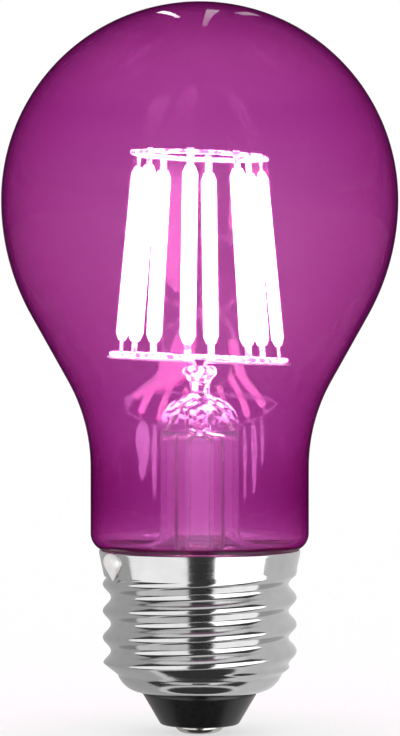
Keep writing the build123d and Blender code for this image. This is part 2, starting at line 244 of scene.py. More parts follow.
@dataclass(frozen=True)
class ClearGlass(Finish):
    """Drawn lead glass of the stem: clear, with a painted glow in upright streaks and painted glints on the
    press, which stand in for the filaments' light carried down the glass.
    """

    label: str = "drawn_stem_glass_painted_glow"
    painted_glow_colour: str = "fff4fb"
    index: float = 1.52
    roughness: float = 0.02
    # Painted glow of the wall at two heights in millimetres, and the streaks that make it uneven
    painted_glow_top: float = 0.08
    painted_glow_foot: float = 0.06
    top: float = 42.0
    foot: float = 25.0
    streak_width: float = 0.35
    streak_length: float = 9.0
    streak_swing: float = 0.3
    # Painted glints on the press and button, standing in for the strips' light refracted in its lumpy glass,
    # which set in between two heights
    sparkle: float = 9.0
    sparkle_size: float = 0.9
    sparkle_span: tuple[float, float] = (0.47, 0.56)
    sparkle_start: float = 42.0
    sparkle_end: float = 46.0

    def paint(self, tree: bpy.types.NodeTree, output: bpy.types.Node) -> None:
        """A painted glow stands in for the filaments' light running down the wall, weaker towards the foot
        and uneven along the streaks.

        Args:
            tree: Node tree of the material.
            output: Its output node.
        """
        place = add_node(tree, "ShaderNodeTexCoord").outputs["Object"]
        height = add_node(tree, "ShaderNodeSeparateXYZ", {0: place}).outputs["Z"]
        drawn = add_node(
            tree,
            "ShaderNodeMapping",
            {"Vector": place},
            {"Scale": (1, 1, self.streak_width / self.streak_length)},
        ).outputs["Vector"]
        streak = add_node(
            tree,
            "ShaderNodeTexNoise",
            {"Vector": drawn},
            {"Scale": per_size(self.streak_width), "Detail": 2.0},
        ).outputs["Fac"]
        uneven = add_node(
            tree,
            "ShaderNodeMapRange",
            {"Value": streak},
            {
                "From Min": NOISE_SPAN[0],
                "From Max": NOISE_SPAN[1],
                "To Min": 1 - self.streak_swing,
                "To Max": 1 + self.streak_swing,
            },
        ).outputs["Result"]
        fade = add_node(
            tree,
            "ShaderNodeMapRange",
            {"Value": height},
            {
                "From Min": self.foot * MM,
                "From Max": self.top * MM,
                "To Min": self.painted_glow_foot,
                "To Max": self.painted_glow_top,
            },
        ).outputs["Result"]
        # Noise that scatters the painted glints over the press
        glint_noise = add_node(
            tree,
            "ShaderNodeTexNoise",
            {"Vector": place},
            {"Scale": per_size(self.sparkle_size), "Detail": 3.0},
        ).outputs["Fac"]
        glint = add_node(
            tree,
            "ShaderNodeMapRange",
            {"Value": glint_noise},
            {"From Min": self.sparkle_span[0], "From Max": self.sparkle_span[1], "To Max": self.sparkle},
        ).outputs["Result"]
        press = add_node(
            tree,
            "ShaderNodeMapRange",
            {"Value": height},
            {"From Min": self.sparkle_start * MM, "From Max": self.sparkle_end * MM},
        ).outputs["Result"]
        glow = add_node(tree, "ShaderNodeMath", {0: fade, 1: uneven}, operation="MULTIPLY").outputs[0]
        inside = add_node(tree, "ShaderNodeNewGeometry").outputs["Backfacing"]
        outside = add_node(tree, "ShaderNodeMath", {1: inside}, {0: 1.0}, operation="SUBTRACT").outputs[0]
        near = add_node(tree, "ShaderNodeMath", {0: press, 1: outside}, operation="MULTIPLY").outputs[0]
        # Painted glow and painted glints, given off from the outer side of the glass only
        light = add_node(
            tree, "ShaderNodeMath", {0: glint, 1: near, 2: glow}, operation="MULTIPLY_ADD"
        ).outputs[0]
        glass = add_node(
            tree,
            "ShaderNodeBsdfPrincipled",
            {"Emission Strength": light},
            {
                "Base Color": linear(WHITE),
                "IOR": self.index,
                "Roughness": self.roughness,
                "Transmission Weight": 1.0,
                "Emission Color": linear(self.painted_glow_colour),
            },
        )
        tree.links.new(glass.outputs[0], output.inputs["Surface"])


@dataclass(frozen=True)
class NickelPlate(Finish):
    """Nickel plate on rolled sheet: bright neutral grey, with roll lines round the cap."""

    label: str = "nickel_plated_sheet"
    bright: str = "d4d4d4"
    dull: str = "c0c0c0"
    roughness: tuple[float, float] = (0.09, 0.18)
    roll_height: float = 0.12
    roll_length: float = 6.0
    cloud: float = 3.0

    def paint(self, tree: bpy.types.NodeTree, output: bpy.types.Node) -> None:
        """Roll lines in the roughness, and a slow drift of tone from the plating bath.

        Args:
            tree: Node tree of the material.
            output: Its output node.
        """
        place = add_node(tree, "ShaderNodeTexCoord").outputs["Object"]
        rolled = add_node(
            tree,
            "ShaderNodeMapping",
            {"Vector": place},
            {"Scale": (self.roll_height / self.roll_length,) * 2 + (1.0,)},
        ).outputs["Vector"]
        line = add_node(
            tree,
            "ShaderNodeTexNoise",
            {"Vector": rolled},
            {"Scale": per_size(self.roll_height), "Detail": 3.0},
        ).outputs["Fac"]
        cloud = add_node(
            tree, "ShaderNodeTexNoise", {"Vector": place}, {"Scale": per_size(self.cloud), "Detail": 4.0}
        ).outputs["Fac"]
        tone = add_node(
            tree,
            "ShaderNodeMix",
            {MIX_SHARE: cloud},
            {MIX_FROM: linear(self.dull), MIX_TO: linear(self.bright)},
            data_type="RGBA",
        ).outputs[MIX_RESULT]
        rough = add_node(
            tree,
            "ShaderNodeMapRange",
            {"Value": line},
            {
                "From Min": NOISE_SPAN[0],
                "From Max": NOISE_SPAN[1],
                "To Min": self.roughness[0],
                "To Max": self.roughness[1],
            },
        ).outputs["Result"]
        plate = add_node(
            tree,
            "ShaderNodeBsdfPrincipled",
            {"Base Color": tone, "Roughness": rough},
            {"Metallic": 1.0},
        )
        tree.links.new(plate.outputs[0], output.inputs["Surface"])


@dataclass(frozen=True)
class Mottled(Finish):
    """A moulded, cast or fired surface whose tone and roughness drift a little."""

    label: str
    light: str
    dark: str
    grain: float
    roughness: float
    metallic: float = 0.0
    drift: float = 0.08
    bump: float = 0.0
    # Strength of a painted glow, which stands in for light falling on the surface
    lit: float = 0.0
    bump_strength: float = 0.4
    # Noise between which a lit surface goes from the dim share to the full strength of its painted glow
    patch_span: tuple[float, float] = (0.42, 0.56)
    patch_dim: float = 0.12

    def paint(self, tree: bpy.types.NodeTree, output: bpy.types.Node) -> None:
        """One noise drives tone, roughness, a shallow bump and, on a lit surface, patches of painted glow.

        Args:
            tree: Node tree of the material.
            output: Its output node.
        """
        place = add_node(tree, "ShaderNodeTexCoord").outputs["Object"]
        noise = add_node(
            tree, "ShaderNodeTexNoise", {"Vector": place}, {"Scale": per_size(self.grain), "Detail": 5.0}
        ).outputs["Fac"]
        tone = add_node(
            tree,
            "ShaderNodeMix",
            {MIX_SHARE: noise},
            {MIX_FROM: linear(self.dark), MIX_TO: linear(self.light)},
            data_type="RGBA",
        ).outputs[MIX_RESULT]
        rough = add_node(
            tree,
            "ShaderNodeMapRange",
            {"Value": noise},
            {"To Min": max(0.0, self.roughness - self.drift), "To Max": self.roughness + self.drift},
        ).outputs["Result"]
        links = {"Base Color": tone, "Roughness": rough}
        if self.bump:
            links["Normal"] = add_node(
                tree,
                "ShaderNodeBump",
                {"Height": noise},
                {"Strength": self.bump_strength, "Distance": self.bump * MM},
            ).outputs["Normal"]
        # A lit surface gets a painted glow, standing in for light that falls on it
        if self.lit:
            links["Emission Strength"] = add_node(
                tree,
                "ShaderNodeMapRange",
                {"Value": noise},
                {
                    "From Min": self.patch_span[0],
                    "From Max": self.patch_span[1],
                    "To Min": self.lit * self.patch_dim,
                    "To Max": self.lit,
                },
            ).outputs["Result"]
        values = {"Metallic": self.metallic, "Emission Color": linear(WHITE)}
        surface = add_node(tree, "ShaderNodeBsdfPrincipled", links, values)
        tree.links.new(surface.outputs[0], output.inputs["Surface"])


@dataclass(frozen=True)
class Phosphor(Finish):
    """Phosphor silicone over a row of light chips, glowing white and a little brighter at each chip."""

    label: str = "glowing_phosphor_silicone"
    body: str = "f3dc7a"
    glow: str = "fff6ee"
    strength: float = 150.0
    roughness: float = 0.5
    chip_spacing: float = 0.85
    chip_swing: float = 0.15

    def paint(self, tree: bpy.types.NodeTree, output: bpy.types.Node) -> None:
        """Bands of light along the strip, one for each chip.

        Args:
            tree: Node tree of the material.
            output: Its output node.
        """
        place = add_node(tree, "ShaderNodeTexCoord").outputs["Object"]
        chips = add_node(
            tree,
            "ShaderNodeTexWave",
            {"Vector": place},
            {"Scale": per_size(self.chip_spacing) / WAVE_BANDS},
            bands_direction="Z",
        ).outputs["Fac"]
        light = add_node(
            tree,
            "ShaderNodeMapRange",
            {"Value": chips},
            {
                "To Min": self.strength * (1 - self.chip_swing),
                "To Max": self.strength * (1 + self.chip_swing),
            },
        ).outputs["Result"]
        strip = add_node(
            tree,
            "ShaderNodeBsdfPrincipled",
            {"Emission Strength": light},
            {
                "Base Color": linear(self.body),
                "Roughness": self.roughness,
                "Emission Color": linear(self.glow),
            },
        )
        tree.links.new(strip.outputs[0], output.inputs["Surface"])


# Tin over brass: a soft silver shine with darker rubbed patches
TINNED_BRASS = Mottled(
    "tinned_brass_contact", "d9d8d4", "a9a7a2", grain=0.8, roughness=0.22, metallic=1.0, drift=0.1, bump=0.02
)
# Soft solder that set in one drop, with a dull sheen: its silvery tone is raised to nearly white as a painted
# highlight
SOLDER = Mottled(
    "soft_solder", "fdfdfb", "eeeeec", grain=0.9, roughness=0.32, metallic=0.3, drift=0.12, bump=0.05
)
# Pressed black glass: deep black with a soft gloss
BLACK_GLASS = Mottled("pressed_black_glass", "1d1d1e", "101011", grain=0.7, roughness=0.3, bump=0.01)
# Baked cement: matt and chalky, the colour of sand
CEMENT = Mottled("baked_capping_cement", "d8cfbd", "b3a892", grain=0.5, roughness=0.85, drift=0.05, bump=0.05)
# Annealed nickel wire: pale grey, dulled by the heat
NICKEL_WIRE = Mottled(
    "annealed_nickel_wire", "e9e8e6", "d2d0ce", grain=0.4, roughness=0.5, metallic=0.5, drift=0.1
)
# The same wire beside the strips, with a painted glow in patches that stands in for the strips' light on it
GLOW_PAINTED_WIRE = replace(NICKEL_WIRE, label="nickel_wire_painted_glow", grain=0.9, lit=11.0)
# White mask on an aluminium board: clean and half matt
BOARD = Mottled("white_aluminium_board", "ecebe4", "d8d6cc", grain=0.6, roughness=0.45)
# Shrunk plastic sleeve: dark blue grey with a soft gloss
SLEEVE = Mottled("shrunk_capacitor_sleeve", "30333a", "23252b", grain=0.8, roughness=0.35)
# Moulded epoxy: charcoal with a fine matt grain
PACKAGE = Mottled("moulded_black_epoxy", "26262a", "17171a", grain=0.3, roughness=0.6, bump=0.02)
# Lacquer on a ceramic rod: green with a soft gloss
FUSE_BODY = Mottled("lacquered_resistor", "4f8f5a", "3b7446", grain=0.5, roughness=0.4)


class Profile:
    """Outline in the XZ plane, drawn with arcs and straight runs and then spun about the axis."""

    def __init__(self, radius: float, height: float, heading: float) -> None:
        """Starts the outline.

        Args:
            radius: Distance from the axis in millimetres.
            height: Height in millimetres.
            heading: Direction of travel in degrees, 0 outwards and 90 upwards.
        """
        self.mesh = bmesh.new()
        self.pen = self.mesh.verts.new((radius * MM, 0, height * MM))
        self.heading = heading

    def run(self, length: float, steps: int = 1) -> "Profile":
        """Draws a straight run along the heading.

        Args:
            length: Length in millimetres.
            steps: Number of equal edges.

        Returns:
            The outline itself.
        """
        turn = math.radians(self.heading)
        stride = Vector((math.cos(turn), 0, math.sin(turn))) * (length / steps * MM)
        for _ in range(steps):
            made = bmesh.ops.extrude_vert_indiv(self.mesh, verts=[self.pen])
            self.pen = made["verts"][0]
            bmesh.ops.translate(self.mesh, verts=[self.pen], vec=stride)
        return self

    def run_to(self, radius: float, height: float, steps: int = 1) -> "Profile":
        """Draws a straight run to a point, and heads that way.

        Args:
            radius: Distance of the point from the axis in millimetres.
            height: Height of the point in millimetres.
            steps: Number of equal edges.

        Returns:
            The outline itself.
        """
        out = radius - self.pen.co.x / MM
        rise = height - self.pen.co.z / MM
        self.heading = math.degrees(math.atan2(rise, out))
        return self.run(math.hypot(out, rise), steps)

    def arc(self, radius: float, turn: float, steps: int) -> "Profile":
        """Draws an arc that leaves along the heading.

        Args:
            radius: Radius in millimetres.
            turn: Angle in degrees, positive to the left.
            steps: Number of equal edges.

        Returns:
            The outline itself.
        """
        side = math.copysign(1.0, turn)
        left = math.radians(self.heading + 90 * side)
        centre = self.pen.co + Vector((math.cos(left), 0, math.sin(left))) * (radius * MM)
        made = bmesh.ops.spin(
            self.mesh,
            geom=[self.pen],
            cent=centre,
            axis=(0, -side, 0),
            angle=math.radians(abs(turn)),
            steps=steps,
        )
        self.pen = [v for v in made["geom_last"] if isinstance(v, bmesh.types.BMVert)][0]
        self.heading += turn
        return self

    def revolve(self, segments: int) -> bmesh.types.BMesh:
        """Spins the outline round the axis and joins the poles.

        Args:
            segments: Number of steps round the axis.

        Returns:
            The surface, with its faces outwards.
        """
        bmesh.ops.spin(
            self.mesh,
            geom=self.mesh.verts[:] + self.mesh.edges[:],
            cent=(0, 0, 0),
            axis=(0, 0, 1),
            angle=math.tau,
            steps=segments,
            use_merge=True,
        )
        bmesh.ops.remove_doubles(self.mesh, verts=self.mesh.verts[:], dist=WELD * MM)
        bmesh.ops.recalc_face_normals(self.mesh, faces=self.mesh.faces[:])
        return self.mesh


def make_piece(name: str, mesh: bmesh.types.BMesh, finish: Finish, smooth: bool = True) -> bpy.types.Object:
    """Turns a bmesh into an object of the scene.

    Args:
        name: Name of the piece.
        mesh: The finished bmesh, which is freed.
        finish: Finish of the piece.
        smooth: Whether its faces are shaded as a curved surface.

    Returns:
        The new object, at the origin.
    """
    for face in mesh.faces:
        face.smooth = smooth
    data = bpy.data.meshes.new(name)
    mesh.to_mesh(data)
    mesh.free()
    data.materials.append(finish.material())
    piece = bpy.data.objects.new(name, data)
    bpy.context.scene.collection.objects.link(piece)
    return piece


def stand_for(piece: bpy.types.Object, node: str) -> bpy.types.Object:
    """Lets a piece stand for one node of the frame.

    Args:
        piece: The new piece.
        node: Name of the node that it replaces.

    Returns:
        The piece.
    """
    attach(piece, BODY)
    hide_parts(node)
    log.info("%s stands for %s with %d faces", piece.name, node, len(piece.data.polygons))
    return piece


def dress(frame: dict[str, Any], finish: Finish, *names: str) -> None:
    """Gives nodes of the frame their finish.

    Args:
        frame: The loaded frame.
        finish: The finish they get.
        names: Names of the nodes.
    """
    for name in names:
        node = frame["nodes"][name]
        node.data.materials.clear()
        node.data.materials.append(finish.material())
        log.info("%s gets %s", name, finish.label)


@dataclass
class Envelope:
    """The blown glass, from its seat in the cap to the crown."""

    INNER = "inner_side"

    wall: float = 0.8
    bulb_radius: float = 27.0
    shoulder_radius: float = 32.0
    taper_angle: float = 29.25
    waist_radius: float = 24.0
    neck_radius: float = 14.85
    neck_length: float = 8.95
    foot_radius: float = 2.4
    foot_step: float = 2.55
    seat_round: float = 0.8
    # Added to the inner side of the neck, with the heights over which it sets in and dies out
    neck_extra: float = 0.2
    neck_low: tuple[float, float] = (26.0, 31.5)
    neck_high: tuple[float, float] = (33.0, 43.0)
    segments: int = 160
    finish: TintedGlass = field(default_factory=TintedGlass)

    def build(self) -> bpy.types.Object:
        """Draws the outer outline, spins it and gives it a wall.

        Returns:
            The glass, which stands for its node.
        """
        low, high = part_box("glass_envelope")
        turn = math.degrees(math.acos(1 - self.foot_step / (self.foot_radius + self.seat_round)))
        side = 1 - math.cos(math.radians(self.taper_angle))
        reach = self.bulb_radius - self.neck_radius - (self.shoulder_radius + self.waist_radius) * side
        taper = reach / math.sin(math.radians(self.taper_angle))
        rise = (self.shoulder_radius + self.waist_radius) * math.sin(math.radians(self.taper_angle))
        rise += taper * math.cos(math.radians(self.taper_angle)) + self.neck_length + self.bulb_radius
        foot = (self.foot_radius + self.seat_round) * math.sin(math.radians(turn))
        seat = (high.z - low.z) / MM - rise - foot
        outline = Profile(self.neck_radius - self.foot_step, low.z / MM, heading=90)
        outline.run(seat, steps=2).arc(self.seat_round, -turn, steps=8)
        outline.arc(self.foot_radius, turn, steps=14).run(self.neck_length, steps=8)
        outline.arc(self.waist_radius, -self.taper_angle, steps=14).run(taper, steps=8)
        outline.arc(self.shoulder_radius, self.taper_angle, steps=20).arc(self.bulb_radius, 90, steps=48)
        mesh = outline.revolve(self.segments)
        mark = mesh.verts.layers.float.new(self.INNER)
        made = bmesh.ops.solidify(mesh, geom=mesh.faces[:], thickness=self.wall * MM)
        for vert in made["geom"]:
            if isinstance(vert, bmesh.types.BMVert):
                vert[mark] = 1.0
                self.thicken(vert)
        return stand_for(make_piece("envelope_glass", mesh, self.finish), "glass_envelope")

    def thicken(self, vert: bmesh.types.BMVert) -> None:
        """Moves a point of the inner side inwards where the neck's wall is thicker.

        Args:
            vert: The point.
        """
        height = vert.co.z / MM
        share = smooth_share(height, *self.neck_low) * (1 - smooth_share(height, *self.neck_high))
        if share > 0:
            vert.co.xy *= 1 - share * self.neck_extra * MM / vert.co.xy.length


@dataclass
class Stem:
    """The clear glass inside: flare, tube, press, post and button, and the exhaust tube under the press."""

    wall: float = 0.9
    tube_radius: float = 5.35
    tube_length: float = 13.9
    flare_radius: float = 3.2
    flare_turn: float = 78.0
    seal_height: float = 1.3
    seal_play: float = 0.02
    press_round: float = 3.9
    press_turn: float = 80.0
    post_fillet: float = 1.0
    post_length: float = 0.2
    button_flare: float = 2.2
    button_turn: float = 50.0
    button_round: float = 0.75
    exhaust_radius: float = 2.0
    exhaust_wall: float = 0.7
    exhaust_tip: float = 3.0
    exhaust_tip_radius: float = 0.6
    bore_tip: float = 1.5
    bore_full: float = 4.5
    blow_hole_radius: float = 1.0
    blow_hole_rise: float = 1.2
    drill_overrun: float = 0.1
    segments: int = 96
    finish: ClearGlass = field(default_factory=ClearGlass)

    def build(self) -> list[bpy.types.Object]:
        """Draws the section of the stem and of its exhaust tube, and spins both.

        Returns:
            The two pieces of glass.
        """
        return [self.build_stem(), self.build_exhaust()]

    def flare(self, inset: float) -> Profile:
        """Draws the seal, the flare and the bend into the tube.

        Args:
            inset: How far the surface lies inside the outer one, in millimetres.

        Returns:
            The outline so far, which heads up the tube.
        """
        low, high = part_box("stem")
        foot = high.x / MM - self.seal_play
        bend = self.flare_radius + inset
        turn = math.radians(self.flare_turn)
        reach = foot - self.tube_radius - bend * (1 - math.cos(turn))
        outline = Profile(foot - inset, low.z / MM, heading=90)
        outline.run(self.seal_height - inset)
        outline.heading += self.flare_turn
        return outline.run(reach / math.sin(turn), steps=6).arc(bend, -self.flare_turn, steps=14)

    def build_stem(self) -> bpy.types.Object:
        """Joins an outer and an inner surface into the stem's wall, and drills the blow hole.

        Returns:
            The stem, which stands for its node.
        """
        outline = self.flare(0).run(self.tube_length, steps=10)
        press = outline.pen.co.z / MM
        outline.arc(self.press_round, self.press_turn, steps=16)
        outline.arc(self.post_fillet, -self.press_turn, steps=10).run(self.post_length)
        outline.arc(self.button_flare, -self.button_turn, steps=10)
        outline.arc(self.button_round, 90 + self.button_turn, steps=14)
        outline.run_to(0, outline.pen.co.z / MM, steps=3)
        inside = self.flare(self.wall)
        inside.run_to(inside.pen.co.x / MM, press - self.wall, steps=10)
        inside.run_to(0, inside.pen.co.z / MM, steps=3)
        lining = inside.revolve(self.segments)
        bmesh.ops.reverse_faces(lining, faces=lining.faces[:])
        piece = make_piece("stem_glass", join_walls(outline.revolve(self.segments), lining), self.finish)
        hole = press + self.blow_hole_rise
        start = press - self.wall - self.drill_overrun
        bore = self.exhaust_radius - self.exhaust_wall
        self.drill(piece, bore, hole - start, Matrix.Translation((0, 0, (hole + start) / 2 * MM)))
        front = Matrix.Translation((0, -self.tube_radius * MM, hole * MM))
        level = Matrix.Rotation(math.radians(90), 4, "X")
        self.drill(piece, self.blow_hole_radius, 2 * self.tube_radius, front @ level)
        return stand_for(piece, "stem")

    def drill(self, piece: bpy.types.Object, radius: float, length: float, place: Matrix) -> None:
        """Takes a round bar out of a piece.

        Args:
            piece: The piece, which gets a new mesh.
            radius: Radius of the bar in millimetres.
            length: Length of the bar in millimetres.
            place: Where the middle of the bar is, and how it is turned.
        """
        mesh = bmesh.new()
        size = {"radius1": radius * MM, "radius2": radius * MM, "depth": length * MM, "matrix": place}
        bmesh.ops.create_cone(mesh, cap_ends=True, segments=self.segments // 2, **size)
        bar = make_piece("drill_bar", mesh, self.finish)
        cut = piece.modifiers.new("drill", "BOOLEAN")
        cut.operation = "DIFFERENCE"
        cut.solver = "EXACT"
        cut.object = bar
        graph = bpy.context.evaluated_depsgraph_get()
        drilled = bpy.data.meshes.new_from_object(piece.evaluated_get(graph))
        piece.modifiers.clear()
        piece.data = drilled
        bpy.data.objects.remove(bar)

    def build_exhaust(self) -> bpy.types.Object:
        """Draws the exhaust tube's wall, closed at its melted tip.

        Returns:
            The tube, which stands for its node.
        """
        low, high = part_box("exhaust_tube")
        bottom, top = low.z / MM, high.z / MM
        bore = self.exhaust_radius - self.exhaust_wall
        outline = Profile(0, bottom, heading=0)
        outline.run(self.exhaust_tip_radius)
        outline.run_to(self.exhaust_radius, bottom + self.exhaust_tip, steps=4)
        outline.run_to(self.exhaust_radius, top, steps=10).run_to(bore, top)
        outline.run_to(bore, bottom + self.bore_full, steps=8).run_to(0, bottom + self.bore_tip, steps=3)
        mesh = outline.revolve(self.segments // 2)
        return stand_for(make_piece("exhaust_glass", mesh, self.finish), "exhaust_tube")


def join_walls(outer: bmesh.types.BMesh, inner: bmesh.types.BMesh) -> bmesh.types.BMesh:
    """Joins two open shells of revolution into one wall by a bridge between their open edges.

    Args:
        outer: The outer shell, which receives the inner one.
        inner: The inner shell with its faces turned round, which is freed.

    Returns:
        The closed wall.
    """
    spare = bpy.data.meshes.new("spare_wall")
    inner.to_mesh(spare)
    inner.free()
    outer.from_mesh(spare)
    bpy.data.meshes.remove(spare)
    bmesh.ops.bridge_loops(outer, edges=[e for e in outer.edges if e.is_boundary])
    bmesh.ops.recalc_face_normals(outer, faces=outer.faces[:])
    return outer


@dataclass
class ScrewCap:
    """The screw cap: rolled shell with its knuckle thread, black glass and contact."""

    sheet: float = 0.3
    major_radius: float = 13.2
    thread_depth: float = 1.1
    thread_pitch: float = 3.629
    thread_phase: float = 14.79
    hole_radius: float = 7.6
    flat_radius: float = 7.9
    shoulder_round: float = 3.45
    shoulder_turn: float = 72.0
    runout_angle: float = 38.0
    collar_start: float = 15.0
    collar_step: float = 0.75
    collar_bulge: float = 0.95
    rim_radius: float = 13.8
    lip_round: float = 0.5
    lip_turn: float = 60.0
    crease: float = 0.25
    notch_angle: float = 209.4
    notch_width: float = 1.1
    notch_margin: float = 0.58
    level_step: float = 0.1
    segments: int = 180
    insulator_top: float = 7.95
    insulator_foot: float = 5.3
    insulator_edge: float = 0.6
    insulator_segments: int = 96
    contact_radius: float = 3.3
    contact_flat: float = 2.0
    contact_edge: float = 0.4
    contact_segments: int = 64
    plate: NickelPlate = field(default_factory=NickelPlate)

    def build(self) -> list[bpy.types.Object]:
        """Makes the shell, the insulator and the contact.

        Returns:
            The pieces of the cap.
        """
        return [self.build_shell(), self.build_insulator(), self.build_contact()]

    def soft_limit(self, first: float, second: float, side: int) -> float:
        """Picks one of two radii, with a rounded change from one to the other.

        Args:
            first: One radius in millimetres.
            second: The other radius.
            side: -1 for the lower of them, 1 for the higher.

        Returns:
            The radius.
        """
        blend = max(self.crease - abs(first - second), 0.0) / self.crease
        pick = min(first, second) if side < 0 else max(first, second)
        return pick + side * blend * blend * self.crease / 4

    def thread(self, angle: float, height: float) -> float:
        """Works out the knuckle thread, a level disc whose centre climbs a narrow helix.

        Args:
            angle: Angle round the axis in radians.
            height: Height in millimetres.

        Returns:
            The radius in millimetres.
        """
        swing = self.thread_depth / 2
        away = angle - math.tau * (height - self.thread_phase) / self.thread_pitch
        disc = self.major_radius - swing
        return swing * math.cos(away) + math.sqrt(disc**2 - (swing * math.sin(away)) ** 2)

    def collar(self, height: float, bottom: float, top: float) -> float:
        """Works out the collar, which steps out from the thread's root and flares to the rim.

        Args:
            height: Height in millimetres.
            bottom: Height of the cap's foot.
            top: Height of its rim.

        Returns:
            The radius in millimetres.
        """
        root = self.major_radius - self.thread_depth
        waist = bottom + self.collar_start + self.collar_step
        if height < waist:
            share = (height - waist) / self.collar_step
            return root + self.collar_bulge + share * (self.collar_bulge + self.sheet)
        flare = self.rim_radius - root - self.collar_bulge
        return root + self.collar_bulge + flare * (height - waist) / (top - waist)

    def build_shell(self) -> bpy.types.Object:
        """Spins the base and a plain sleeve, then rolls the thread and the collar into the sleeve.

        Returns:
            The shell, which stands for the screw base.
        """
        low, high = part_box("screw_base")
        bottom, top = low.z / MM, high.z / MM
        lip_turn = math.radians(self.lip_turn)
        lip_rise = self.lip_round * math.sin(lip_turn)
        outline = Profile(self.hole_radius, bottom, heading=0)
        outline.run(self.flat_radius - self.hole_radius)
        outline.arc(self.shoulder_round, self.shoulder_turn, steps=16)
        sleeve, foot = outline.pen.co.x / MM, outline.pen.co.z / MM
        steps = round((top - lip_rise - foot) / self.level_step)
        outline.run_to(sleeve, top - lip_rise, steps).arc(self.lip_round, self.lip_turn, steps=6)
        mesh = outline.revolve(self.segments)
        slope = math.tan(math.radians(self.runout_angle))
        for vert in mesh.verts:
            height = vert.co.z / MM
            radius = vert.co.xy.length / MM
            if height > foot - self.level_step / 2:
                angle = math.atan2(vert.co.y, vert.co.x)
                rolled = self.soft_limit(self.thread(angle, height), self.collar(height, bottom, top), 1)
                limit = sleeve + (height - foot) / slope
                shaped = self.soft_limit(rolled, limit, -1) + radius - sleeve
                vert.co.xy *= shaped / radius
        self.cut_notch(mesh)
        bmesh.ops.recalc_face_normals(mesh, faces=mesh.faces[:])
        piece = make_piece("cap_shell", mesh, self.plate)
        wall = piece.modifiers.new("sheet", "SOLIDIFY")
        wall.thickness = self.sheet * MM
        wall.offset = -1.0
        return stand_for(piece, "screw_base")

    def cut_notch(self, mesh: bmesh.types.BMesh) -> None:
        """Opens the rim under the drop of solder, where the side wire leaves.

        Args:
            mesh: The rolled shell, still without its wall.
        """
        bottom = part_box("side_wire")[1].z - self.notch_margin * MM
        turn = Matrix.Rotation(math.radians(-self.notch_angle), 3, "Z")
        opened = []
        for face in mesh.faces:
            middle = turn @ face.calc_center_median()
            beside = abs(middle.y) < self.notch_width / 2 * MM and middle.x > 0
            if beside and middle.z > bottom:
                opened.append(face)
        bmesh.ops.delete(mesh, geom=opened, context="FACES")

    def build_insulator(self) -> bpy.types.Object:
        """Spins the black glass cone, up into the hole of the shell.

        Returns:
            The insulator, which stands for its node.
        """
        low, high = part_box("insulator")
        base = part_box("screw_base")[0].z / MM
        foot = low.z / MM
        lean = math.degrees(math.atan2(base - foot, self.insulator_top - self.insulator_foot))
        tuck = self.insulator_edge * math.tan(math.radians(lean / 2))
        outline = Profile(0, foot, heading=0)
        outline.run(self.insulator_foot - tuck, steps=4).arc(self.insulator_edge, lean, steps=8)
        outline.run_to(self.insulator_top, base, steps=8)
        outline.run_to(self.hole_radius, base).run_to(self.hole_radius, base + self.sheet)
        outline.run_to(self.hole_radius, high.z / MM, steps=2).run_to(0, high.z / MM, steps=2)
        mesh = outline.revolve(self.insulator_segments)
        return stand_for(make_piece("insulator_glass", mesh, BLACK_GLASS), "insulator")

    def build_contact(self) -> bpy.types.Object:
        """Spins the domed contact.

        Returns:
            The contact, which stands for its node.
        """
        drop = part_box("insulator")[0].z / MM
        rise = drop - self.contact_edge
        reach = self.contact_radius - self.contact_flat
        turn = 2 * math.degrees(math.atan2(rise, reach))
        outline = Profile(0, 0, heading=0)
        outline.run(self.contact_flat, steps=3)
        outline.arc((reach**2 + rise**2) / (2 * rise), turn, steps=8)
        outline.run_to(self.contact_radius, drop).run_to(0, drop, steps=3)
        mesh = outline.revolve(self.contact_segments)
        piece = make_piece("contact_dome", mesh, TINNED_BRASS)
        return stand_for(piece, "centre_contact")


@dataclass
class Cage:
    """Filaments, rings, tabs and wires, which keep the frame's own solids."""

    filaments: int = 8
    phosphor: Phosphor = field(default_factory=Phosphor)

    def dress(self, frame: dict[str, Any]) -> None:
        """Gives the strips their glow, the wires their metal, and the tabs and rings a painted glow.

        Args:
            frame: The loaded frame.
        """
        numbers = range(1, self.filaments + 1)
        dress(frame, self.phosphor, *(f"filament_{k}" for k in numbers))
        dress(frame, GLOW_PAINTED_WIRE, *(f"filament_tabs_{k}" for k in numbers))
        dress(frame, GLOW_PAINTED_WIRE, "upper_ring", "lower_ring_left", "lower_ring_right")
        dress(frame, NICKEL_WIRE, "lead_wire_left", "lead_wire_right", "side_wire")


@dataclass
class Driver:
    """The driver inside the cap, the cement and the solder, which keep the frame's own solids."""

    def dress(self, frame: dict[str, Any]) -> None:
        """Gives the board, what is soldered to it, the cement and the side drop their finishes.

        Args:
            frame: The loaded frame.
        """
        dress(frame, BOARD, "driver_board")
        dress(frame, SLEEVE, "capacitor")
        dress(frame, PACKAGE, "rectifier", "driver_chip")
        dress(frame, TINNED_BRASS, "rectifier_legs", "driver_chip_legs", "fuse_leads")
        dress(frame, FUSE_BODY, "fuse_resistor")
        dress(frame, CEMENT, "cement_ring")
        dress(frame, SOLDER, "side_solder")


